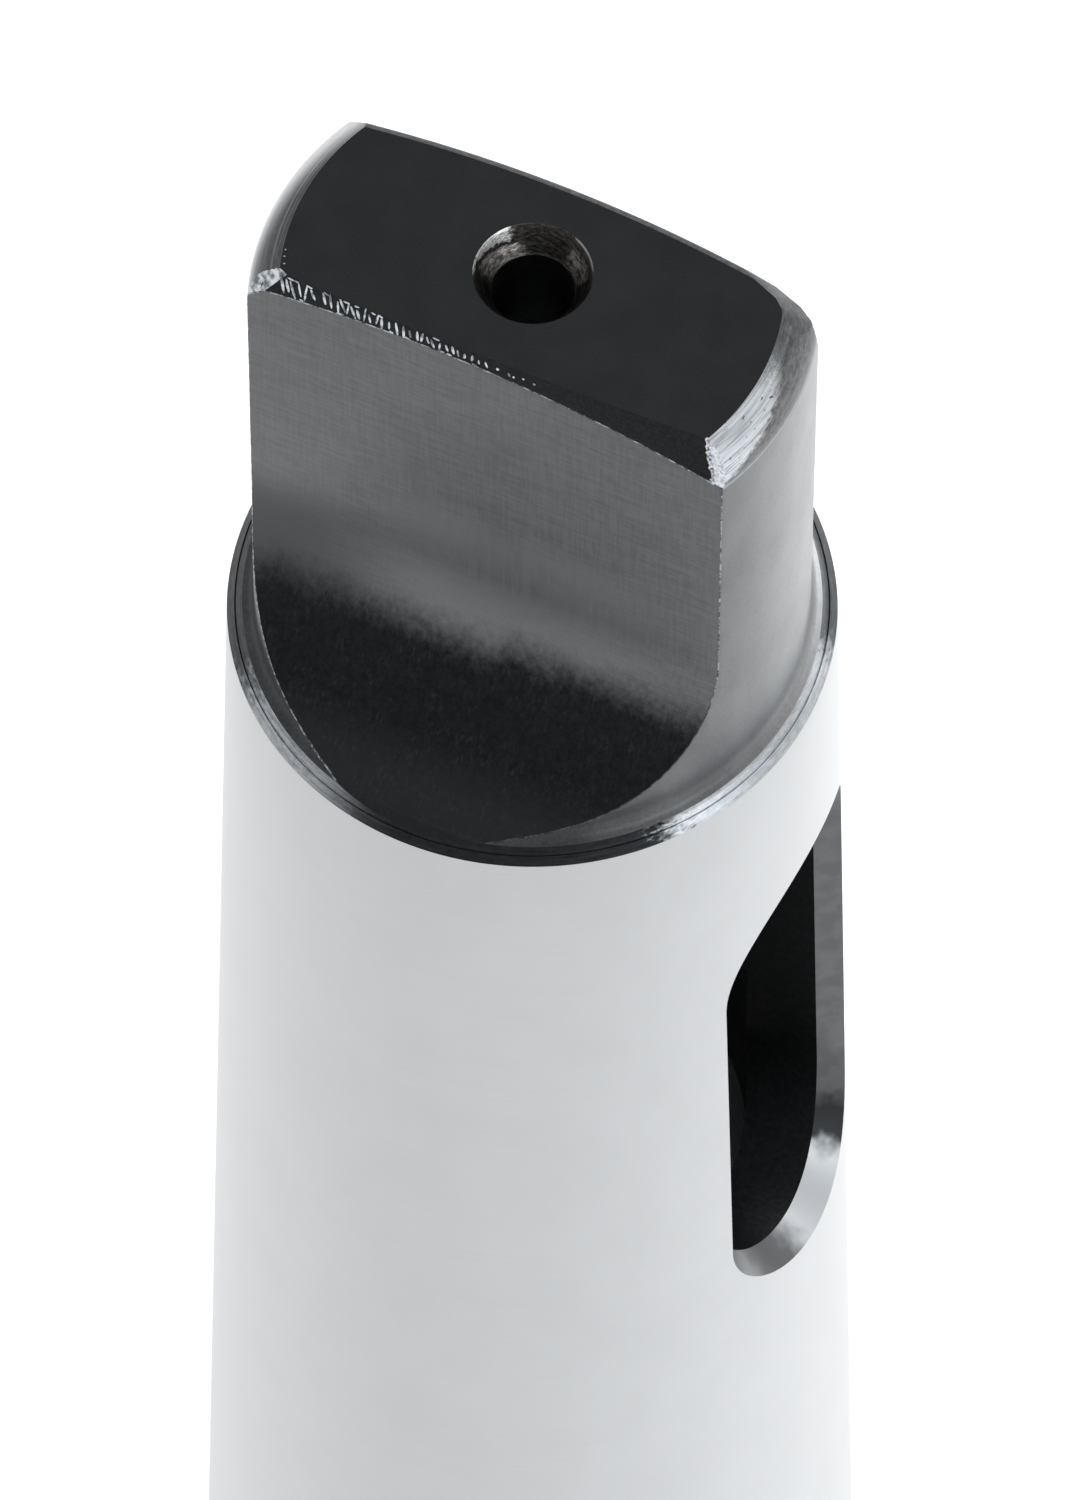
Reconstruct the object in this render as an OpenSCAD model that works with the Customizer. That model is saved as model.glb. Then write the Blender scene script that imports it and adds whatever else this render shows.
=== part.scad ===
// Morse taper sleeve, one solid: a ground taper outside, a taper socket inside,
// a drift slot through the wall and a milled tang on the small end.
// The sleeve stands on its large end, with the tang up. The slot runs along X.

/* [Ground taper] */
// Overall length, from the large end face to the tip of the tang
overall_l = 112; // [105:0.5:125]
// Diameter of the taper at its gauge plane
gauge_d = 23.825; // [23:0.005:24.5]
// Height of the gauge plane above the large end face
gauge_z = 18; // [14:0.5:24]
// Length over which the taper's diameter shrinks by 1 mm
taper_rate = 19.922; // [19:0.001:21]
// Chamfer on the small end of the taper
rim_break = 0.5; // [0.2:0.05:0.7]

/* [Collar] */
// Diameter of the plain collar at the large end
collar_d = 24.6; // [24.4:0.1:27]
// Length of the collar
collar_l = 12; // [8:0.5:16]
// Chamfer on the collar's outer edge
collar_break = 1; // [0.3:0.1:1.5]

/* [Tang] */
// Length of the tang, from the small end of the taper to the tip
tang_l = 20; // [19:0.5:24]
// Diameter of the tang before its flats are milled
tang_d = 18.3; // [17.5:0.1:19]
// Thickness across the two flats
tang_b = 7.3; // [6.5:0.1:8.5]
// Length of the straight part of the flats, measured from the tip
flat_l = 13; // [12:0.5:15]
// Radius of the cutter that leaves the hollow at the foot of each flat
cutter_r = 7; // [5:0.5:8]
// Chamfer round the tip of the tang
tip_break = 1.2; // [0.8:0.1:1.6]
// Radius that rounds the tip chamfer into the tang's side
tip_round = 2.4; // [0.8:0.1:2.6]
// Depth of the bevel along the top edge of each flat, at its middle
edge_break_h = 0.6; // [0.4:0.1:1]
// Width of that bevel there, measured on the tip
edge_break_w = 0.3; // [0.2:0.05:0.5]
// Radius of the bow in that bevel, seen from above, which widens it towards both ends
bow_r = 55; // [30:5:100]

/* [Centre hole] */
// Diameter of the countersink's mouth
centre_d = 3.8; // [3:0.1:5]
// Diameter of the pilot hole
pilot_d = 2.7; // [1.5:0.1:2.9]
// Depth of the pilot hole below the tip
pilot_depth = 7; // [4:0.5:12]
// Angle of the countersink
centre_angle = 60; // [50:1:90]

/* [Drift slot] */
// Width of the slot inside the wall
slot_w = 7.8; // [6:0.1:8.4]
// Length of the slot inside the wall
slot_l = 23.6; // [20:0.1:26]
// Height of the slot's lower end above the large end face
slot_z = 59.6; // [56:0.1:61]
// How much wider the slot is at its mouth, on each side
mouth_w = 0.62; // [0.3:0.01:0.9]
// Depth over which the mouth narrows to the slot's own width
mouth_depth = 1.24; // [0.5:0.01:1.6]

/* [Socket] */
// Diameter of the socket at the large end face
socket_d = 17.78; // [17:0.01:18.5]
// Length over which the socket's diameter shrinks by 1 mm
socket_rate = 20.02; // [19:0.01:21]
// Diameter of the drilled bore past the socket's taper
bore_d = 14.9; // [14.6:0.1:15.6]
// Depth of the bore, without the point that the drill leaves
bore_depth = 67; // [60:0.5:70]
// Angle of the drill's point
drill_angle = 118; // [90:1:140]
// Chamfer at the socket's mouth
mouth_break = 0.6; // [0.2:0.1:1]

/* [Hidden] */
$fn = 128;
// Steps along each round end of the slot's mouth
MOUTH_STEPS = 24;
// Steps along the hollow round at the foot of the tang
ROOT_STEPS = 4;
// How far a cutting shape runs past the surface that it cuts
PAST = 1;
// Share of its own depth by which the mouth's flare runs on at both ends
RUN_ON = 0.3;

collar_r = collar_d / 2;
tang_r = tang_d / 2;
rim_z = overall_l - tang_l;
rim_r = taper_r(rim_z);
shoulder_r = rim_r - rim_break;
shoulder_z = rim_z + rim_break;
root_round = shoulder_r - tang_r;
collar_top = collar_l + collar_r - taper_r(collar_l);
flat_z = overall_l - flat_l;
slot_r = slot_w / 2;
slot_top = slot_z + slot_l;
socket_l = (socket_d - bore_d) * socket_rate;
drill_h = bore_d / 2 / tan(drill_angle / 2);
countersink_h = (centre_d - pilot_d) / 2 / tan(centre_angle / 2);

// Radius of the ground taper at height z
function taper_r(z) = (gauge_d + (gauge_z - z) / taper_rate) / 2;

// Distance of the taper's surface from the YZ plane, at [y, z]
function wall_x(p) = sqrt(pow(taper_r(p.y), 2) - pow(p.x, 2));

// Outline of the slot as [y, z] points, grown outwards by g
function slot_outline(g) = concat(
    [for (i = [0:MOUTH_STEPS]) let (a = 180 * i / MOUTH_STEPS)
        [(slot_r + g) * cos(a), slot_top - slot_r + (slot_r + g) * sin(a)]],
    [for (i = [0:MOUTH_STEPS]) let (a = 180 + 180 * i / MOUTH_STEPS)
        [(slot_r + g) * cos(a), slot_z + slot_r + (slot_r + g) * sin(a)]]);

// That outline laid on the taper and sunk below its surface by d
function slot_ring(g, d) = [for (p = slot_outline(g)) [wall_x(p) - d, p.x, p.y]];

// Half section of the tang's side and tip, with the rounded chamfer
module tang_section() {
    round_z = overall_l - tip_break - (sqrt(2) - 1) * tip_round;
    round_r = tang_r - tip_round;
    meet = tip_round / sqrt(2);
    polygon([
        [0, rim_z], [tang_r, rim_z], [tang_r, round_z],
        [round_r + meet, round_z + meet],
        [tang_r - tip_break, overall_l], [0, overall_l]]);
    intersection() {
        translate([round_r, round_z]) circle(r = tip_round);
        square([tang_r, overall_l]);
    }
}

// Half section of the hollow round at the foot of the tang
module root_section() {
    polygon(concat(
        [[tang_r - PAST, rim_z], [shoulder_r, rim_z]],
        [for (i = [0:ROOT_STEPS]) let (a = 90 * i / ROOT_STEPS)
            [shoulder_r - root_round * sin(a), shoulder_z + root_round * (1 - cos(a))]],
        [[tang_r - PAST, shoulder_z + root_round]]));
}

// Half section of the collar, the ground taper and its chamfered small end
module taper_section() {
    polygon([
        [0, 0], [collar_r - collar_break, 0], [collar_r, collar_break],
        [collar_r, collar_l], [taper_r(collar_top), collar_top],
        [rim_r, rim_z], [shoulder_r, shoulder_z], [0, shoulder_z]]);
}

// The turned blank
module blank() {
    rotate_extrude() {
        tang_section();
        root_section();
        taper_section();
    }
}

// Socket, drilled bore and the drill's point, as one turned cutting shape
module socket() {
    mouth_r = socket_d / 2 + mouth_break;
    rotate_extrude() polygon([
        [0, -PAST], [mouth_r + PAST, -PAST], [socket_d / 2 - mouth_break / socket_rate / 2, mouth_break],
        [bore_d / 2, socket_l], [bore_d / 2, bore_depth], [0, bore_depth + drill_h]]);
}

// Centre hole in the tip of the tang
module centre_hole() {
    past_r = centre_d / 2 + PAST * tan(centre_angle / 2);
    rotate_extrude() polygon([
        [0, overall_l + PAST], [past_r, overall_l + PAST],
        [pilot_d / 2, overall_l - countersink_h], [pilot_d / 2, overall_l - pilot_depth],
        [0, overall_l - pilot_depth - pilot_d / 2 / tan(drill_angle / 2)]]);
}

// What the cutter takes off one side of the tang: the flat and the hollow at its foot
module flat_cut() {
    wide = 2 * (rim_r + PAST);
    deep = rim_r + PAST;
    translate([0, tang_b / 2 + cutter_r, flat_z]) {
        rotate([0, 90, 0]) cylinder(h = wide, r = cutter_r, center = true);
        translate([-wide / 2, -cutter_r, 0]) cube([wide, cutter_r + deep, flat_l + PAST]);
        translate([-wide / 2, 0, -cutter_r]) cube([wide, deep, cutter_r + flat_l + PAST]);
    }
}

// Bevel along the top edge of one flat: all that lies outside a wide cone, so that the bevel is bowed
module edge_cut() {
    slope = edge_break_w / edge_break_h;
    deep = flat_l / 2;
    high = deep + 2 * PAST;
    difference() {
        translate([-tang_r - PAST, 0, overall_l - deep])
            cube([2 * (tang_r + PAST), tang_r, deep + PAST]);
        translate([0, tang_b / 2 - edge_break_w - bow_r, overall_l - deep])
            cylinder(h = high, r1 = bow_r + slope * deep, r2 = bow_r - slope * (high - deep));
    }
}

// The slot for the drift, through both walls
module drift_slot() {
    through = 2 * (collar_r + PAST);
    for (z = [slot_z + slot_r, slot_top - slot_r])
        translate([0, 0, z]) rotate([0, 90, 0]) cylinder(h = through, r = slot_r, center = true);
    translate([-through / 2, -slot_r, slot_z + slot_r]) cube([through, slot_w, slot_l - slot_w]);
}

// Flare that eases one mouth of the slot, following the curve of the taper
module slot_mouth() {
    outer = slot_ring(mouth_w * (1 + RUN_ON), -mouth_depth * RUN_ON);
    inner = slot_ring(-mouth_w * RUN_ON, mouth_depth * (1 + RUN_ON));
    n = len(outer);
    middle_z = slot_z + slot_l / 2;
    caps = [[taper_r(middle_z) + 2 * PAST, 0, middle_z], [inner[0].x - PAST, 0, middle_z]];
    polyhedron(
        points = concat(outer, inner, caps),
        faces = concat(
            [for (i = [0:n - 1]) [i, (i + 1) % n + n, i + n]],
            [for (i = [0:n - 1]) [i, (i + 1) % n, (i + 1) % n + n]],
            [for (i = [0:n - 1]) [2 * n, (i + 1) % n, i]],
            [for (i = [0:n - 1]) [2 * n + 1, i + n, (i + 1) % n + n]]));
}

module sleeve() {
    color("silver") difference() {
        blank();
        socket();
        centre_hole();
        drift_slot();
        for (side = [0, 1]) {
            mirror([0, side, 0]) flat_cut();
            mirror([0, side, 0]) edge_cut();
            mirror([side, 0, 0]) slot_mouth();
        }
    }
}

sleeve();
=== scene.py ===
import math
import random
import bmesh
import bpy
from mathutils import Matrix, Vector


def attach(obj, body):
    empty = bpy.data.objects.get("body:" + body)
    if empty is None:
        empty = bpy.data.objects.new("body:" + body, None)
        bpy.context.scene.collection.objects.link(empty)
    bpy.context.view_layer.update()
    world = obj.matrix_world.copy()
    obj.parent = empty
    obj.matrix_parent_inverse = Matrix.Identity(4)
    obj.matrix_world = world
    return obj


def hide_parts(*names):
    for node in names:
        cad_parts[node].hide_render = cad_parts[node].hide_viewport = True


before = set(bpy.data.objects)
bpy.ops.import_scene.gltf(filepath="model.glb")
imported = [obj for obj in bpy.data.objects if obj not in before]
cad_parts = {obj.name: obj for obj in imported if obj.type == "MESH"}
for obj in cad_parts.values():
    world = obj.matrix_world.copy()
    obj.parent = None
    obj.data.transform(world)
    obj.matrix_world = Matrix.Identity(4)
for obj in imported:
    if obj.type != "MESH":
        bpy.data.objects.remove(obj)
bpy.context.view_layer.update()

# ---------------------------------------------------------------------------
# The sleeve: one piece of hardened steel, turned from bar, bored for a smaller taper, milled
# with two flats and a drift slot, blackened, and then ground bright on its outer taper.
# The blank is turned here ring by ring, and the cuts follow in the order of the workshop.
# ---------------------------------------------------------------------------
MM = 0.001
SIDES = 256
TIP = 112
RIM_Z = 92
FLAT_Y = 3.65
TANG_R = 9.15
CHAMFER_R = 8.05
CHAMFER_OFF = (0.15, -0.4)


class Flow:
    """One output of a material's nodes. Arithmetic on it adds the Math nodes that it needs."""

    def __init__(self, tree, socket=None):
        self.tree = tree
        self.socket = socket

    def node(self, kind, settings=None, sockets=None, output=0):
        made = self.tree.nodes.new(kind)
        for name, value in (settings or {}).items():
            setattr(made, name, value)
        for name, value in (sockets or {}).items():
            if isinstance(value, Flow):
                self.tree.links.new(value.socket, made.inputs[name])
            else:
                made.inputs[name].default_value = value
        return Flow(self.tree, made.outputs[output])

    def calc(self, operation, first, second=0.0):
        return self.node("ShaderNodeMath", {"operation": operation}, {0: first, 1: second})

    def __add__(self, other):
        return self.calc("ADD", self, other)

    def __radd__(self, other):
        return self.calc("ADD", other, self)

    def __sub__(self, other):
        return self.calc("SUBTRACT", self, other)

    def __rsub__(self, other):
        return self.calc("SUBTRACT", other, self)

    def __mul__(self, other):
        return self.calc("MULTIPLY", self, other)

    def __rmul__(self, other):
        return self.calc("MULTIPLY", other, self)

    def between(self, low, high):
        """0 at low, 1 at high and a soft step between them."""
        return self.node("ShaderNodeMapRange", {"interpolation_type": "SMOOTHSTEP"},
            {"Value": self, "From Min": low, "From Max": high})

    def mix(self, first, second):
        """Blends two colours by this value."""
        return self.node("ShaderNodeMix", {"data_type": "RGBA"}, {"Factor": self, "A": first, "B": second}, 2)

    def grain(self, size, stretch=(1, 1, 1), detail=2.0, rough=0.5):
        """Noise in this place whose features are about size mm, made longer by stretch."""
        scale = [1 / (size * MM * s) for s in stretch]
        mapped = self.node("ShaderNodeMapping", None, {"Vector": self, "Scale": scale})
        return self.node("ShaderNodeTexNoise", None, {"Vector": mapped, "Scale": 1.0, "Detail": detail, "Roughness": rough})


class Metal:
    """A metal finish: its material, its shader and the places on the sleeve that it reads."""

    def __init__(self, name, roughness):
        self.material = bpy.data.materials.new(name)
        self.material.use_nodes = True
        tree = self.material.node_tree
        self.shader = tree.nodes["Principled BSDF"]
        self.shader.inputs["Metallic"].default_value = 1
        self.shader.inputs["Roughness"].default_value = roughness
        self.place = Flow(tree).node("ShaderNodeTexCoord", output="Object")
        self.x, self.y, self.z = [self.place.node("ShaderNodeSeparateXYZ", None, {"Vector": self.place}, i) for i in range(3)]
        self.radius = self.place.calc("SQRT", self.x * self.x + self.y * self.y)
        turned_by = self.place.calc("ARCTAN2", self.x, self.y * -1.0)
        # The angle in degrees: 0 in front, 90 at the right
        self.angle = turned_by * math.degrees(1)
        self.unrolled = self.place.node("ShaderNodeCombineXYZ", None, {"X": turned_by * (9 * MM), "Y": self.radius, "Z": self.z})

    def feed(self, name, flow):
        flow.tree.links.new(flow.socket, self.shader.inputs[name])

    def relief(self, height, depth):
        """Bumps whose height goes from 0 to 1 over depth mm."""
        self.feed("Normal", height.node("ShaderNodeBump", None, {"Height": height, "Distance": depth * MM, "Strength": 1.0}))


def light_value(level):
    """Scene value of a level from 0 to 255 as a screen shows it."""
    level = level / 255
    return level / 12.92 if level <= 0.04045 else ((level + 0.055) / 1.055) ** 2.4


def grey(level, blue=2):
    return (light_value(level - blue), light_value(level), light_value(level + blue), 1)


# Ground taper: bright, with fine rings from the wheel.
ground = Metal("ground_taper", 0.36)
rings = ground.place.grain(0.10, (80, 80, 1), 3.0)
cloud = ground.place.grain(2.5, (1, 1, 1.4), 3.0)
ground.feed("Base Color", (rings * 0.5 + cloud * 0.5).between(0.3, 0.7).mix(grey(204), grey(208)))
ground.feed("Roughness", 0.26 + rings * 0.1)
ground.relief(rings, 0.0015)

# Black skin that the unground steel keeps: the tip, its front bevel and the collar.
black = Metal("black_skin", 0.4)
fine = black.place.grain(0.08, (1, 1, 1), 3.0, 0.6)
dull = black.place.grain(1.5, (1, 1, 1), 2.0)
black.feed("Base Color", (fine * 0.6 + dull * 0.4).between(0.3, 0.7).mix(grey(56), grey(64)))
black.feed("Roughness", 0.38 + fine * 0.12)
black.relief(fine, 0.002)

# Front bevel: a deeper black that ends ragged at the right corner, where the chamfer's bright steel begins.
bevelled = Metal("black_bevel", 0.4)
fine = bevelled.place.grain(0.1, (1, 1, 1), 3.0, 0.6)
corner = bevelled.x - (TIP * MM - bevelled.z) * 0.22 + (fine - 0.5) * (0.12 * MM)
skin = fine.between(0.3, 0.7).mix(grey(32), grey(44))
bevelled.feed("Base Color", corner.between(7.66 * MM, 7.70 * MM).mix(skin, fine.between(0.3, 0.6).mix(grey(190, 5), grey(248, 6))))
bevelled.relief(fine, 0.004)

# Milled flats, finely crossed lines; painted shade darkens their lower left and makes the hollows at their feet
# near-black, with real scratches across them, and a painted highlight lightens a band just above the hollows.
milled = Metal("milled_flat", 0.45)
upright = milled.place.grain(0.09, (1, 1, 14), 2.0, 0.6)
level = milled.place.grain(0.09, (12, 1, 1), 2.0, 0.6)
patch = milled.place.grain(4.0, (1, 1, 1), 1.0)
ragged = milled.place.grain(0.26, (1, 1, 1.5), 4.0, 0.7)
blotch = milled.place.grain(1.6)
steel = (upright * 0.42 + level * 0.42 + patch * 0.16).between(0.34, 0.66).mix(grey(106), grey(124))
# Painted shade: each flat is darkened towards its foot and towards -x.
steel = (milled.z.between(101 * MM, 98 * MM) * milled.x.between(-2 * MM, -7 * MM) * 0.9).mix(steel, grey(88))
# Painted highlight: a lighter band across the middle of each flat, just above the hollow.
painted_light_band = milled.z.between(103 * MM, 101 * MM) * milled.x.between(-5 * MM, -1 * MM) * milled.x.between(8 * MM, 3 * MM)
steel = (painted_light_band * 0.6).mix(steel, grey(140))
high = milled.z + (ragged - 0.5) * (1.1 * MM) + (blotch - 0.5) * (0.6 * MM) + 0.15 * MM
high = high + milled.x.between(1.5 * MM, 0.5 * MM) * (0.4 * MM) + milled.x.between(-7.0 * MM, -8.2 * MM) * (0.5 * MM)
scratch = milled.place.grain(0.11, (1, 2, 7), 3.0, 0.6).between(0.50, 0.74) * milled.place.grain(0.9).between(0.35, 0.65)
# Painted shade: the hollow at the foot of each flat is near-black; its scratches and its lowest part are a little
# lighter.
painted_hollow_shade = (upright * 0.4 + ragged * 0.6).between(0.35, 0.65).mix(grey(34), grey(44))
hollow = (scratch * 0.45 + milled.z.between(93.6 * MM, 92.3 * MM) * 0.45).mix(painted_hollow_shade, grey(72))
milled.feed("Base Color", high.between(95.7 * MM, 97.8 * MM).mix(hollow, steel))
milled.feed("Roughness", 0.40 + upright * 0.16)
milled.relief(upright * 0.5 + level * 0.5, 0.003)

# Turned side of the tang and the hollow round at its foot: grey and a little frosted, with painted light that makes it
# darker at the front and left and brighter round the right, and painted shade in the round at its foot at the front and
# left.
side = Metal("turned_side", 0.42)
frost = side.place.grain(0.12, (1, 1, 1), 3.0, 0.6)
cloud = side.place.grain(1.6, (1, 1, 1.5), 3.0)
cloud = (frost * 0.5 + cloud * 0.5).between(0.3, 0.7)
# Painted shade: the round at the foot of the side is darkened at the front and the left.
shade = side.z.between(94.6 * MM, 93.2 * MM) * side.angle.between(60, 28)
# Painted light: the side is darker at the front and left and brighter round the right.
painted_side_light = side.angle.between(62, 104).mix(cloud.mix(grey(112), grey(130)), cloud.mix(grey(166), grey(186)))
side.feed("Base Color", shade.mix(painted_side_light, cloud.mix(grey(66), grey(86))))
side.feed("Roughness", 0.38 + frost * 0.1)
side.relief(frost, 0.003)

# Chamfer and round of the tip: rough turned rings, mottled, with rubbed wear and a painted highlight bright at the
# right, and a painted highlight on its outer part at the left.
chamfer = Metal("tip_chamfer", 0.35)
furrow = chamfer.unrolled.grain(0.08, (30, 1, 1), 3.0, 0.6)
pits = chamfer.unrolled.grain(0.16, (1.6, 1, 1), 3.0, 0.7)
wander = chamfer.angle + (pits - 0.5) * 24
low_edge = (chamfer.angle - 64) * (0.05 * MM) + 110.15 * MM
depth = chamfer.z + (pits - 0.5) * (0.7 * MM) - low_edge
# Painted highlight and rubbed wear: speckled bright steel over the right of the chamfer.
wear_and_highlight = depth.between(-0.15 * MM, 0.2 * MM) * wander.between(20, 30) * wander.between(98, 84) * pits.between(0.32, 0.38)
dark = (furrow * 0.25 + pits * 0.75).between(0.3, 0.7).mix(grey(96), grey(140))
border = chamfer.z.between(109.95 * MM, 110.0 * MM) * chamfer.z.between(110.2 * MM, 110.08 * MM) * chamfer.angle.between(40, 60) * 0.6
dark = border.mix(dark, grey(178, 4))
streak = (furrow * 0.5 + pits * 0.5).between(0.3, 0.7)
# Painted highlight: the outer part of the chamfer at the left is bright, darker towards the top.
inner = (chamfer.z + (chamfer.angle + 80) * (0.03 * MM)).between(110.4 * MM, 111.6 * MM)
at_left = inner.mix(streak.mix(grey(220), grey(244)), streak.mix(grey(86), grey(114)))
dark = chamfer.angle.between(-40, -60).mix(dark, at_left)
chamfer.feed("Base Color", wear_and_highlight.mix(dark, furrow.between(0.3, 0.6).mix(grey(186, 5), grey(244, 6))))
chamfer.feed("Roughness", 0.3 + pits * 0.15)
chamfer.relief(furrow * (wear_and_highlight * 0.5 + 0.2) + pits * 0.3, 0.025)

# Back bevel and back corners: grey and mottled.
mottled = Metal("mottled_round", 0.42)
furrow = mottled.unrolled.grain(0.10, (14, 1, 1), 3.0, 0.6)
pits = mottled.place.grain(0.22, (1, 1, 1), 3.0, 0.6)
mottled.feed("Base Color", (furrow * 0.5 + pits * 0.5).between(0.3, 0.7).mix(grey(84), grey(124)))
mottled.relief(furrow * 0.5 + pits * 0.5, 0.012)

# Small end of the taper: two chamfered bands, with rubbed wear and a painted highlight bright at the right and a little
# at the left.
rim = Metal("rim_bands", 0.36)
furrow = rim.unrolled.grain(0.08, (40, 1, 1), 3.0, 0.6)
pits = rim.unrolled.grain(0.14, (2, 1, 1), 3.0, 0.7)
wander = rim.angle + (pits - 0.5) * 18
band = (furrow * 0.5 + pits * 0.5).between(0.3, 0.7)
# Painted highlight and rubbed wear: bright steel round the right, and a paler band at the front left.
wear_and_highlight = wander.between(48, 58) * wander.between(110, 100) * pits.between(0.22, 0.30)
half_wear_and_highlight = wander.between(-52, -38) * wander.between(-8, -22)
skinned = rim.angle.between(-20, 0) * rim.angle.between(62, 50)
colour = skinned.mix(band.mix(grey(84), grey(112)), band.mix(grey(40), grey(58)))
colour = half_wear_and_highlight.mix(colour, band.mix(grey(140, 4), grey(214, 5)))
colour = wear_and_highlight.mix(colour, band.mix(grey(190, 5), grey(240, 6)))
rim.feed("Base Color", colour)
rim.relief(furrow * 0.5 + pits * 0.5, 0.015)

# Inside of the slot: black.
wall = Metal("slot_wall", 0.5)
wall.feed("Base Color", wall.place.grain(0.2, (1, 1, 1), 3.0).between(0.3, 0.7).mix(grey(50), grey(60)))

# Flared mouth of the slot: left grey by the deburring wheel; round its lower end it has a grey band, then a painted
# highlight that makes it bright round the bottom and lighter towards the front.
mouth = Metal("slot_mouth", 0.4)
cloud = mouth.place.grain(0.8, (1, 1, 1), 2.0)
# The angle round the lower end in degrees: 0 at the back, 90 at the bottom
about = mouth.place.calc("ARCTAN2", 63.5 * MM - mouth.z, mouth.y) * math.degrees(1) + (cloud - 0.5) * 18
# Painted highlight by the angle round the lower end: bright round the bottom and lighter grey towards the front; a grey
# band comes before it.
grey_band = about.between(26, 36) * about.between(58, 50)
bright = about.between(48, 60) * about.between(112, 94)
colour = cloud.between(0.35, 0.65).mix(grey(98), grey(108))
colour = about.between(94, 112).mix(colour, about.between(124, 150).mix(grey(116), grey(176)))
colour = bright.mix(grey_band.mix(colour, grey(62)), grey(216, 4))
mouth.feed("Base Color", colour)
mouth.relief(mouth.place.grain(0.25, (1, 1, 3), 3.0), 0.003)

# Centre hole: a countersink with turned rings, dark, with painted highlights that make it bright and warm at the left
# and put a bright patch and a thin bright line at the right.
centre = Metal("centre_hole", 0.35)
chatter = centre.unrolled.grain(0.5, (1.6, 0.4, 0.4), 3.0, 0.7)
cut = centre.unrolled.grain(0.12, (12, 1, 1), 2.0, 0.6)
fleck = centre.place.grain(0.16, (1, 1, 1), 3.0, 0.7)
wander = centre.angle + (chatter - 0.5) * 24
down = centre.z + (chatter - 0.5) * (0.3 * MM) + (fleck - 0.5) * (0.2 * MM) - (centre.angle + 118) * (0.0055 * MM)
at_left = wander.between(-136, -126) * wander.between(-58, -70)
in_left = wander.between(-150, -132) * wander.between(-66, -96)
at_right = wander.between(112, 122) * wander.between(164, 154)
rings = (cut * 0.5 + fleck * 0.5).between(0.36, 0.62)
colour = rings.mix(grey(50, -1), grey(88, -2))
# Painted highlights: bright patches inside the countersink at the right and left, and a thin bright line at its top
# edge at the right.
colour = (at_right * rings * centre.z.between(111.8 * MM, 111.6 * MM)).mix(colour, grey(180, -3))
colour = (at_right * centre.z.between(111.94 * MM, 111.96 * MM)).mix(colour, grey(170))
colour = (in_left * down.between(111.55 * MM, 111.45 * MM)).mix(colour, rings.mix(grey(140, -3), grey(249, -6)))
colour = (at_left * down.between(111.62 * MM, 111.68 * MM)).mix(colour, fleck.between(0.3, 0.5).mix(grey(150), grey(254, 0)))
centre.feed("Base Color", centre.z.between(110.9 * MM, 111.15 * MM).mix(grey(120), colour))
centre.relief(cut * 0.5 + fleck * 0.5, 0.03)

# Bore and socket: reamed, with fine rings.
bored = Metal("bored_socket", 0.35)
rings = bored.place.grain(0.12, (80, 80, 1), 3.0)
bored.feed("Base Color", rings.between(0.3, 0.7).mix(grey(150), grey(185)))
bored.relief(rings, 0.002)

# Raised edges that the cutters leave: a thin broken line of bright steel whose brightness is partly a painted
# highlight, dull round the right hollow.
burr = Metal("raised_edge", 0.3)
broken = burr.place.grain(0.22, (1, 1, 1), 4.0, 0.7).between(0.40, 0.62)
dull = burr.z.between(98 * MM, 97 * MM) * burr.x.between(0, 1 * MM)
# Painted highlight in part: the broken line is brighter than the milled steel it is cut from.
burr.feed("Base Color", dull.mix(broken.mix(grey(70), grey(190, 5)), broken.mix(grey(60), grey(104))))
burr.relief(broken, 0.02)

# Torn steel of chatter marks and bruised corners: bright and speckled.
torn = Metal("torn_steel", 0.3)
spark = torn.place.grain(0.3, (1, 1, 1), 3.0, 0.5)
torn.feed("Base Color", spark.between(0.36, 0.58).mix(grey(124, 4), grey(232, 6)))
torn.relief(spark, 0.03)

FINISHES = [ground, black, bevelled, milled, side, chamfer, mottled, rim, wall, mouth, centre, bored, burr, torn]


def turn(name, outline):
    """Turns a solid: a disc is pulled through rings of (radius, height, part of the chamfer's offset) in mm."""
    bpy.ops.object.select_all(action="DESELECT")
    radius, height, off = outline[0]
    bpy.ops.mesh.primitive_circle_add(vertices=SIDES, radius=radius * MM, fill_type="NGON", location=(0, 0, height * MM))
    piece = bpy.context.object
    piece.name = name
    bpy.ops.object.transform_apply(location=True, rotation=True, scale=True)
    bpy.ops.object.mode_set(mode="EDIT")
    bpy.ops.mesh.select_mode(type="FACE")
    bpy.ops.mesh.select_all(action="SELECT")
    for next_radius, next_height, next_off in outline[1:]:
        step = ((next_off - off) * CHAMFER_OFF[0] * MM, (next_off - off) * CHAMFER_OFF[1] * MM, (next_height - height) * MM)
        bpy.ops.mesh.extrude_region_move(TRANSFORM_OT_translate={"value": step})
        grow = next_radius / radius
        middle = (next_off * CHAMFER_OFF[0] * MM, next_off * CHAMFER_OFF[1] * MM, next_height * MM)
        bpy.ops.transform.resize(value=(grow, grow, 1), center_override=middle)
        radius, height, off = next_radius, next_height, next_off
    bpy.ops.mesh.select_all(action="SELECT")
    bpy.ops.mesh.normals_make_consistent(inside=False)
    bpy.ops.object.mode_set(mode="OBJECT")
    return piece


def settle(tool):
    """Puts an object's place, turn and size into its mesh, with the faces outward."""
    bpy.ops.object.select_all(action="DESELECT")
    tool.select_set(True)
    bpy.context.view_layer.objects.active = tool
    bpy.ops.object.transform_apply(location=True, rotation=True, scale=True)
    bpy.ops.object.mode_set(mode="EDIT")
    bpy.ops.mesh.select_all(action="SELECT")
    bpy.ops.mesh.normals_make_consistent(inside=False)
    bpy.ops.object.mode_set(mode="OBJECT")
    return tool


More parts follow.
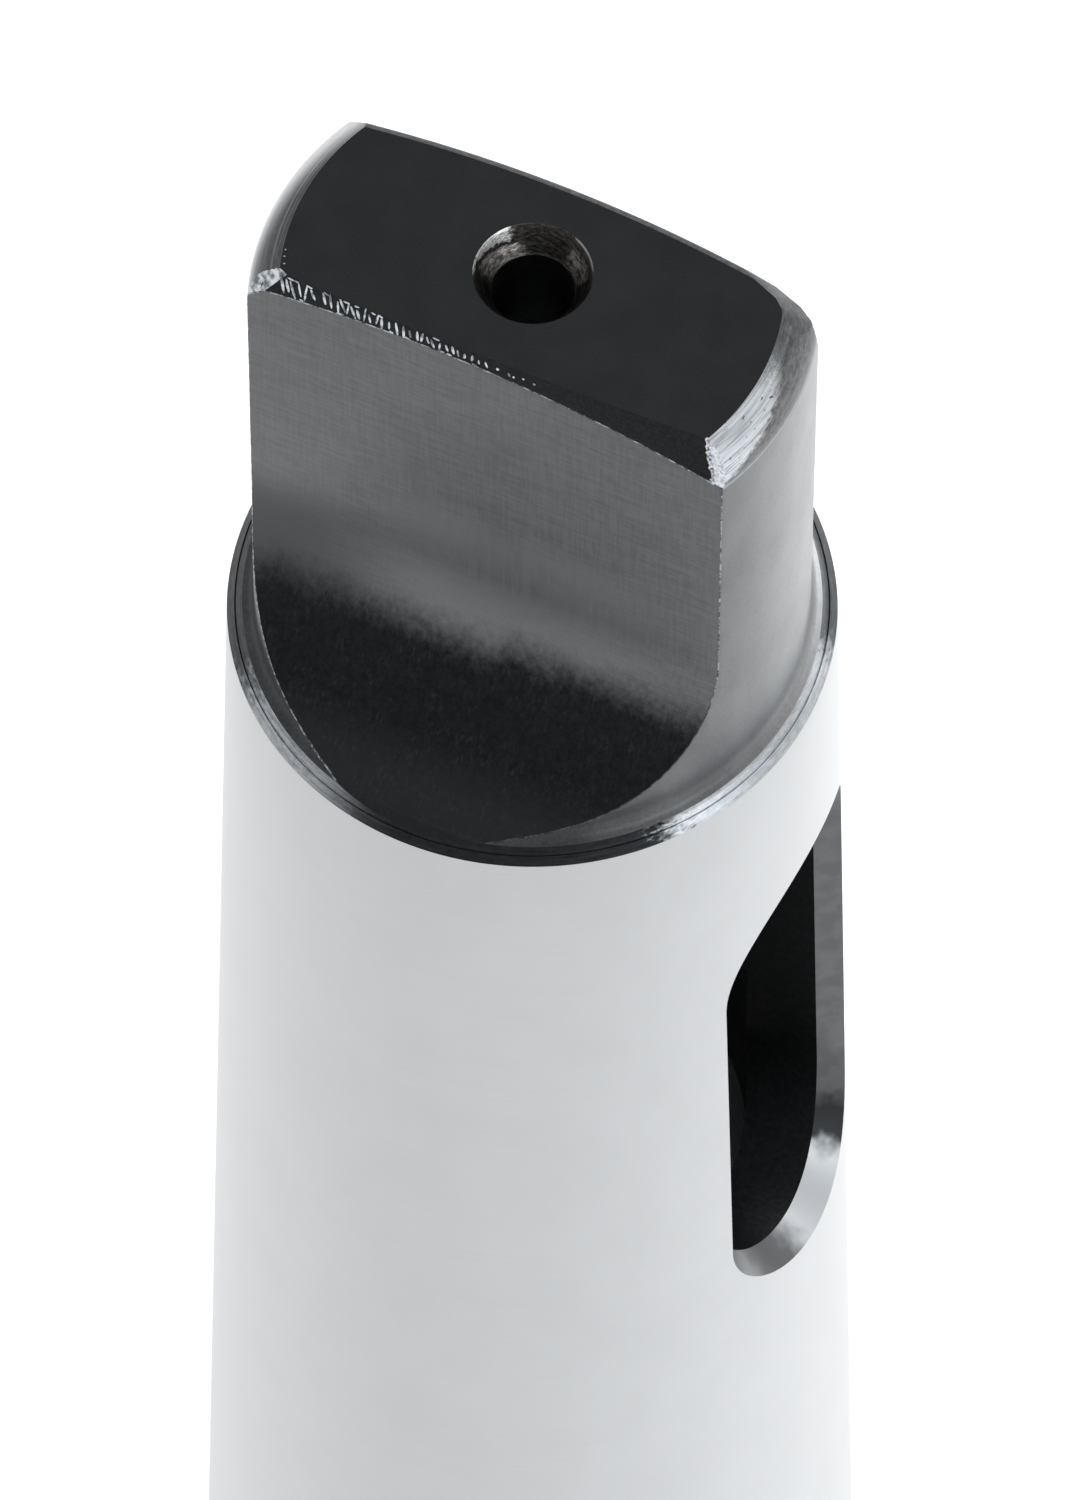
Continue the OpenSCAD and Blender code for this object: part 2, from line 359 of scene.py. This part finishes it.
def machine(piece, tool, finish, operation="DIFFERENCE"):
    """Takes a tool's shape off the piece; the cut faces get the finish."""
    tool.data.materials.clear()
    tool.data.materials.append(finish.material)
    change = piece.modifiers.new("cut", "BOOLEAN")
    change.operation = operation
    change.solver = "EXACT"
    change.material_mode = "TRANSFER"
    change.object = tool
    bpy.ops.object.select_all(action="DESELECT")
    bpy.context.view_layer.objects.active = piece
    bpy.ops.object.modifier_apply(modifier=change.name)
    bpy.data.objects.remove(tool)


def block(name, low, high):
    """A block between two corners in mm."""
    bpy.ops.object.select_all(action="DESELECT")
    middle = [(a + b) / 2 * MM for a, b in zip(low, high)]
    bpy.ops.mesh.primitive_cube_add(size=1, location=middle, scale=[(b - a) * MM for a, b in zip(low, high)])
    made = bpy.context.object
    made.name = name
    return settle(made)


def round_edges(piece, radius, wanted, segments=32, **more):
    """Bevels the edges that a test picks, over a width in mm."""
    bpy.ops.object.select_all(action="DESELECT")
    piece.select_set(True)
    bpy.context.view_layer.objects.active = piece
    bpy.ops.object.mode_set(mode="EDIT")
    bpy.ops.mesh.select_mode(type="EDGE")
    bpy.ops.mesh.select_all(action="DESELECT")
    shape = bmesh.from_edit_mesh(piece.data)
    for edge in shape.edges:
        edge.select_set(wanted(edge))
    bmesh.update_edit_mesh(piece.data)
    bpy.ops.mesh.bevel(offset=radius * MM, offset_type="OFFSET", segments=segments, profile=0.5, affect="EDGES", **more)
    bpy.ops.mesh.select_all(action="SELECT")
    bpy.ops.mesh.remove_doubles(threshold=0.005 * MM)
    bpy.ops.object.mode_set(mode="OBJECT")


def along_x(edge):
    first, last = edge.verts
    return abs(first.co.x - last.co.x) > 1 * MM


def at_foot(edge):
    """The lower inside edge of the mill that cuts the back flat."""
    return along_x(edge) and all(vertex.co.y < 4 * MM and vertex.co.z < 93 * MM for vertex in edge.verts)


def taper_r(z):
    """Radius of the ground taper at a height, both in mm."""
    return (23.825 + (18 - z) / 19.922) / 2


ROUND = 2.4
RIDGES = 12
round_r = TANG_R - ROUND
chamfer_low_r = round_r + ROUND * math.cos(math.radians(45))
chamfer_low_z = TIP - (chamfer_low_r - CHAMFER_R)
round_z = chamfer_low_z - ROUND * math.sin(math.radians(45))
outline = [(0.02, 71.47), (7.45, 67), (7.45, 57.66), (8.875, 0.6), (9.49, 0), (11.3, 0), (12.3, 1), (12.3, 12), (12.057, 12.24)]
outline += [(taper_r(z), z) for z in (20, 32, 44, 56, 62, 68, 74, 80, 86, 91.9)]
outline += [(10.045, 92.0), (9.80, 92.24), (9.775, 92.20), (9.74, 92.26), (9.54, 92.41)]
outline += [(9.42, 92.47), (9.33, 92.54), (9.25, 92.65), (9.19, 92.80), (9.16, 93.0), (TANG_R, 93.3), (TANG_R, 97), (TANG_R, 103)]
outline = [(radius, height, 0) for radius, height in outline]
for i in range(9):
    bend = math.radians(45 * i / 8)
    outline.append((round_r + ROUND * math.cos(bend), round_z + ROUND * math.sin(bend), i / 8))
random.seed(4)
for i in range(1, RIDGES):
    along = (i + random.uniform(-0.3, 0.3)) / RIDGES
    lift = random.uniform(-0.012, 0.012)
    outline.append((chamfer_low_r + (CHAMFER_R - chamfer_low_r) * along + lift, chamfer_low_z + (TIP - chamfer_low_z) * along + lift, 1))
outline += [(CHAMFER_R, TIP, 1), (1.93, TIP, 0), (1.885, TIP - 0.05, 0)]
outline += [(1.93 - 0.058 * i, TIP - 0.1 * i + random.uniform(-0.015, 0.015), 0) for i in range(2, 10)]
outline += [(1.35, 111.0, 0), (1.35, 105, 0), (0.02, 104.2, 0)]

sleeve = turn("sleeve_body", outline)
sleeve.data.materials.clear()
for finish in FINISHES:
    sleeve.data.materials.append(finish.material)
for face in sleeve.data.polygons:
    middle = face.center / MM
    radius = math.hypot(middle.x, middle.y)
    if middle.z > RIM_Z and radius < 2:
        finish = centre
    elif middle.z > TIP - 0.001:
        finish = black
    elif middle.z > round_z:
        finish = chamfer
    elif middle.z > 92.42:
        finish = side
    elif middle.z > 91.97:
        finish = rim
    elif radius < 9.51 and middle.z < 57.7:
        finish = bored
    elif radius < 9.51 and middle.z < 71.5:
        finish = wall
    elif middle.z < 12.2:
        finish = black
    else:
        finish = ground
    face.material_index = FINISHES.index(finish)

# The mill takes the two flats and leaves a hollow of its own radius at their feet.
for facing in (-1, 1):
    tool = block("mill", (-12, FLAT_Y, RIM_Z + 0.25), (12, 14, TIP + 3))
    round_edges(tool, 7, at_foot)
    tool.scale.y = facing
    machine(sleeve, settle(tool), milled)

# The top edges of the flats are bevelled by eye: all are bowed, the front one is tilted, the back one a round.
BOW = 160
INSET = 0.128
SLOPE = 0.22
TILT = math.radians(2.33)
for facing, bow, inset, slope, tilt, finish in (
        (-1, BOW, INSET, SLOPE, TILT, bevelled),
        (1, 50, 0.215, 0.5, 0, mottled), (1, 50, 0.315, 1, 0, mottled), (1, 50, 0.4, 1.8, 0, mottled)):
    low, high = TIP - 10, TIP + 4
    bpy.ops.object.select_all(action="DESELECT")
    bpy.ops.mesh.primitive_cone_add(vertices=900, radius1=(bow + slope * (TIP - low)) * MM, radius2=(bow - slope * (high - TIP)) * MM,
        depth=(high - low) * MM, location=(0, -facing * (bow - FLAT_Y + inset) * MM, (low + high) / 2 * MM))
    tool = settle(bpy.context.object)
    bpy.ops.object.mode_set(mode="EDIT")
    bpy.ops.mesh.select_mode(type="FACE")
    bpy.ops.mesh.select_all(action="DESELECT")
    shape = bmesh.from_edit_mesh(tool.data)
    for face in shape.faces:
        face.select_set(face.normal.z < -0.9)
    bmesh.update_edit_mesh(tool.data)
    bpy.ops.mesh.extrude_region_move(TRANSFORM_OT_translate={"value": (0, 0, -110 * MM)})
    bpy.ops.transform.resize(value=(1.5, 1.5, 1), center_override=(0, -facing * bow * MM, 0))
    bpy.ops.object.mode_set(mode="OBJECT")
    pivot = Matrix.Translation((0, facing * FLAT_Y * MM, TIP * MM))
    tool.matrix_world = pivot @ Matrix.Rotation(tilt, 4, "Y") @ pivot.inverted() @ tool.matrix_world
    machine(sleeve, settle(tool), finish, "INTERSECT")

# The corners of the tip are touched on a wheel, and the back right one into a round.
for point, way, finish in (
        ((-7.40, -3.28, TIP), (-0.36, -0.85, 0.39), torn),
        ((7.93, 2.66, TIP), (0.32, 0.95, 0.44), mottled), ((8.51, 2.38, TIP), (0.52, 0.85, 0.34), mottled),
        ((9.09, 1.86, TIP), (0.75, 0.66, 0.17), mottled), ((6.75, 2.72, TIP), (0.28, 0.71, 0.64), mottled),
        ((7.65, 2.25, TIP), (0.49, 0.59, 0.64), mottled), ((8.02, 1.65, TIP), (0.67, 0.36, 0.64), mottled),
        ((-6.9, 3.28, TIP), (-0.45, 0.65, 0.61), mottled)):
    way = Vector(way).normalized()
    bpy.ops.object.select_all(action="DESELECT")
    bpy.ops.mesh.primitive_cube_add(size=12 * MM, location=(Vector(point) + way * 6) * MM, rotation=way.to_track_quat("Z", "Y").to_euler())
    machine(sleeve, settle(bpy.context.object), finish)

# The drift slot goes through both walls.
SLOT_R = 3.9
SLOT_LOW = 59.6
SLOT_TOP = 83.2
tool = block("slot_mill", (-14, -SLOT_R, SLOT_LOW), (14, SLOT_R, SLOT_TOP))
round_edges(tool, SLOT_R - 0.001, along_x)
machine(sleeve, tool, wall)

# Each mouth of the slot is flared, and the flare follows the curve of the taper.
FLARE_W = 0.62
FLARE_D = 1.02
RUN_ON = 0.3
grown = SLOT_R + FLARE_W * (1 + RUN_ON)
for facing in (-1, 1):
    tool = block("flare", (11, -grown, SLOT_LOW + SLOT_R - grown), (14, grown, SLOT_TOP - SLOT_R + grown))
    round_edges(tool, grown - 0.001, along_x)
    bpy.ops.object.mode_set(mode="EDIT")
    bpy.ops.mesh.select_mode(type="FACE")
    bpy.ops.mesh.select_all(action="DESELECT")
    shape = bmesh.from_edit_mesh(tool.data)
    for face in shape.faces:
        face.select_set(all(vertex.co.x < 11.5 * MM for vertex in face.verts))
    bmesh.update_edit_mesh(tool.data)
    bpy.ops.mesh.inset(thickness=FLARE_W * (1 + 2 * RUN_ON) * MM, depth=0)
    shape = bmesh.from_edit_mesh(tool.data)
    sunk = {vertex for face in shape.faces if face.select for vertex in face.verts}
    for vertex in shape.verts:
        if vertex.co.x < 11.5 * MM:
            y, z = vertex.co.y / MM, vertex.co.z / MM
            depth = FLARE_D * (1 + RUN_ON) if vertex in sunk else -FLARE_D * RUN_ON
            vertex.co.x = (math.sqrt(taper_r(z) ** 2 - y ** 2) - depth) * MM
    bmesh.update_edit_mesh(tool.data)
    bpy.ops.mesh.extrude_region_move(TRANSFORM_OT_translate={"value": (-1 * MM, 0, 0)})
    bpy.ops.transform.resize(value=(0, 1, 1), center_override=(8 * MM, 0, 0))
    bpy.ops.mesh.select_all(action="SELECT")
    bpy.ops.mesh.quads_convert_to_tris()
    bpy.ops.object.mode_set(mode="OBJECT")
    tool.scale.x = facing
    # A hair off the middle, so that none of its edges meets one of the slot's
    tool.location = (0, 0.003 * MM, 0.002 * MM)
    machine(sleeve, settle(tool), mouth)

# Cutters push up a thin raised edge round each flat.
bpy.ops.object.select_all(action="DESELECT")
sleeve.select_set(True)
bpy.context.view_layer.objects.active = sleeve
bpy.ops.object.mode_set(mode="EDIT")
bpy.ops.mesh.select_mode(type="VERT")
bpy.ops.mesh.select_all(action="SELECT")
bpy.ops.mesh.remove_doubles(threshold=0.02 * MM)
bpy.ops.mesh.normals_make_consistent(inside=False)
bpy.ops.object.mode_set(mode="OBJECT")


def is_raised(edge):
    kinds = {FINISHES[face.material_index] for face in edge.link_faces}
    if len(kinds) != 2 or edge.calc_face_angle(0) < math.radians(8):
        return False
    return milled in kinds and ground not in kinds and rim not in kinds


round_edges(sleeve, 0.03, is_raised, segments=2, material=FINISHES.index(burr), clamp_overlap=False, loop_slide=False)
bpy.ops.object.select_all(action="DESELECT")
sleeve.select_set(True)
bpy.ops.object.shade_smooth_by_angle(angle=math.radians(24))
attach(sleeve, "root")
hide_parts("sleeve")

# ---------------------------------------------------------------------------
# Chatter marks and crumbs: short ridges of torn steel along the left half of the front bevel,
# and small lumps at the corners of the tip. They are bright because the wheel tore the skin.
# ---------------------------------------------------------------------------
crumbs = []


def bevel_spot(x, part):
    """A point of the front bevel in mm: part 0 is its top edge and 1 its lower edge."""
    inset = INSET + x * x / (2 * BOW) + SLOPE * x * math.tan(TILT)
    return Vector((x, -FLAT_Y + inset * (1 - part), TIP - inset / SLOPE * part))


def add_crumb(spot, long_way, out_way, size):
    """Sets one lump at a spot, with its half sizes across, outward and along in mm."""
    if crumbs:
        lump = crumbs[0].copy()
        lump.data = crumbs[0].data.copy()
        bpy.context.scene.collection.objects.link(lump)
    else:
        bpy.ops.object.select_all(action="DESELECT")
        bpy.ops.mesh.primitive_ico_sphere_add(subdivisions=2, radius=1)
        lump = bpy.context.object
        lump.name = "chatter_marks"
        lump.data.materials.append(torn.material)
        bpy.ops.object.shade_smooth()
    long_way = long_way.normalized()
    across = long_way.cross(out_way).normalized()
    turned = Matrix((across, long_way.cross(across) * -1, long_way)).transposed().to_4x4()
    lump.matrix_world = Matrix.Translation(Vector(spot) * MM) @ turned @ Matrix.Diagonal([part * MM for part in size] + [1])
    crumbs.append(lump)


random.seed(11)
OUT = Vector((0, -0.976, 0.215))
x = -7.15
while x < 1.9:
    fade = min(1.0, max(0.15, (2.0 - x) / 4.0))
    if random.random() < 0.55 + 0.42 * fade:
        down = bevel_spot(x, 1) - bevel_spot(x, 0)
        lean = Vector((random.uniform(-0.1, 0.5) * down.length, 0, 0))
        size = (random.uniform(0.04, 0.062), 0.04, down.length * random.uniform(0.28, 0.5) * fade)
        add_crumb(bevel_spot(x, random.uniform(0.4, 0.6)), down + lean, OUT, size)
        if random.random() < 0.45 * fade:
            size = (0.04, 0.035, random.uniform(0.08, 0.16))
            add_crumb(bevel_spot(x + 0.1, random.choice((0.12, 0.9))), Vector((1, 0, random.uniform(-0.5, 0.1))), OUT, size)
    x += random.uniform(0.15, 0.27)
for spot, size in (
        ((8.93, -0.82, 109.85), (0.07, 0.06, 0.07)), ((8.47, -3.2, 109.95), (0.09, 0.08, 0.12)), ((8.62, -2.6, 109.95), (0.06, 0.06, 0.06)),
        ((8.7, -2.1, 110.3), (0.05, 0.05, 0.05)), ((8.72, -0.1, 110.9), (0.05, 0.05, 0.05)), ((8.8, 0.3, 110.9), (0.04, 0.04, 0.04)),
        ((-7.95, -3.6, 110.95), (0.06, 0.05, 0.14)),
        ((-7.3, -3.1, 112), (0.05, 0.03, 0.05)), ((-7.42, -2.85, 112), (0.04, 0.03, 0.05)), ((-7.5, -2.6, 112), (0.035, 0.03, 0.04))):
    add_crumb(spot, Vector((0.2, 0, 1)), Vector((0.3, -0.9, 0.3)), size)
# The right corner is ragged all the way down.
for i in range(24):
    down = 1.8 * i / 23
    spot = Vector((7.67 + 0.22 * down + random.uniform(-0.06, 0.04), -3.29 - 0.21 * down, TIP - down))
    size = (random.uniform(0.035, 0.07), random.uniform(0.03, 0.05), random.uniform(0.05, 0.14))
    add_crumb(spot, Vector((random.uniform(-0.2, 0.5), 0, 1)), Vector((0.3, -0.9, 0.3)), size)
bpy.ops.object.select_all(action="DESELECT")
for lump in crumbs:
    lump.select_set(True)
marks = crumbs[0]
bpy.context.view_layer.objects.active = marks
bpy.ops.object.join()
bpy.ops.object.transform_apply(location=True, rotation=True, scale=True)
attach(marks, "root")

# ---------------------------------------------------------------------------
# The floor: one plain white sheet that the sleeve stands on, large enough to fill the view.
# It is lit and keeps the shadow, and the lens and shiny steel also get a little white from it.
# ---------------------------------------------------------------------------
bpy.ops.object.select_all(action="DESELECT")
bpy.ops.mesh.primitive_plane_add(size=3, location=(0, 0, 0))
floor = bpy.context.object
floor.name = "floor"
sheet = bpy.data.materials.new("white_sheet")
sheet.use_nodes = True
lit = sheet.node_tree.nodes["Principled BSDF"]
lit.inputs["Base Color"].default_value = (0.9, 0.9, 0.9, 1)
lit.inputs["Roughness"].default_value = 0.9
lit.inputs["Specular IOR Level"].default_value = 0
start = Flow(sheet.node_tree)
shown = start.node("ShaderNodeLightPath", output="Is Camera Ray") + start.node("ShaderNodeLightPath", output="Is Glossy Ray")
shown = shown + start.node("ShaderNodeLightPath", output="Is Transmission Ray")
white = start.node("ShaderNodeEmission", None, {"Color": (1, 1, 1, 1), "Strength": shown * 0.28})
both = start.node("ShaderNodeAddShader", None, {0: Flow(sheet.node_tree, lit.outputs["BSDF"]), 1: white})
sheet.node_tree.links.new(both.socket, sheet.node_tree.nodes["Material Output"].inputs["Surface"])
floor.data.materials.append(sheet)

# ---------------------------------------------------------------------------
# The studio: an even surround, a soft lamp that hangs over the floor behind the sleeve, and one at its right.
# ---------------------------------------------------------------------------
world = bpy.data.worlds.new("studio")
world.use_nodes = True
world.node_tree.nodes["Background"].inputs["Color"].default_value = (0.6, 0.6, 0.6, 1)
bpy.context.scene.world = world


def soft_lamp(name, azimuth, away, height, target, size, power, tint):
    """A soft lamp at a distance and height, aimed at a point; its azimuth is 0 in front and 90 at the right."""
    data = bpy.data.lights.new(name, "AREA")
    data.shape = "RECTANGLE"
    data.size, data.size_y = size
    data.energy = power
    data.color = tint
    lamp = bpy.data.objects.new(name, data)
    bpy.context.scene.collection.objects.link(lamp)
    turn_to = math.radians(azimuth)
    spot = Vector((math.sin(turn_to) * away, -math.cos(turn_to) * away, height))
    lamp.matrix_world = Matrix.Translation(spot) @ (spot - Vector(target)).to_track_quat("Z", "Y").to_matrix().to_4x4()
    return lamp


soft_lamp("back_lamp", 180, 0.08, 0.105, (0, 0.08, 0), (0.10, 0.10), 0.09, (0.98, 0.99, 1.0))
soft_lamp("right_lamp", 68, 0.54, 0.36, (0, 0, 0.1), (0.40, 0.22), 0.35, (0.95, 0.98, 1.0))
# Two small lamps low over the floor, whose pools of light the taper mirrors as soft upright bands.
for name, azimuth, away, height, power in (("front_pool", 14, 0.050, 0.045, 0.0012), ("side_pool", 100, 0.052, 0.05, 0.003)):
    turn_to = math.radians(azimuth)
    under = (math.sin(turn_to) * away, -math.cos(turn_to) * away, 0)
    soft_lamp(name, azimuth, away, height, under, (0.02, 0.02), power, (0.98, 0.99, 1.0))

# ---------------------------------------------------------------------------
# The camera: far off with a long lens, looking steeply down on the tang.
# ---------------------------------------------------------------------------
CAMERA_AZIMUTH = 25.34
CAMERA_ELEVATION = 58.61
CAMERA_DISTANCE = 0.5402
CAMERA_ROLL = 0.18
AIM = Vector((0.00201, -0.00354, 0.0895))

azimuth = math.radians(CAMERA_AZIMUTH)
elevation = math.radians(CAMERA_ELEVATION)
back = Vector((math.sin(azimuth) * math.cos(elevation), -math.cos(azimuth) * math.cos(elevation), math.sin(elevation)))
lens = bpy.data.cameras.new("camera")
lens.lens = 394.25
lens.sensor_width = 36
camera = bpy.data.objects.new("camera", lens)
bpy.context.scene.collection.objects.link(camera)
camera.matrix_world = (Matrix.Translation(AIM + back * CAMERA_DISTANCE)
    @ back.to_track_quat("Z", "Y").to_matrix().to_4x4()
    @ Matrix.Rotation(math.radians(CAMERA_ROLL), 4, "Z"))
bpy.context.scene.camera = camera
bpy.context.scene.view_settings.view_transform = "Standard"
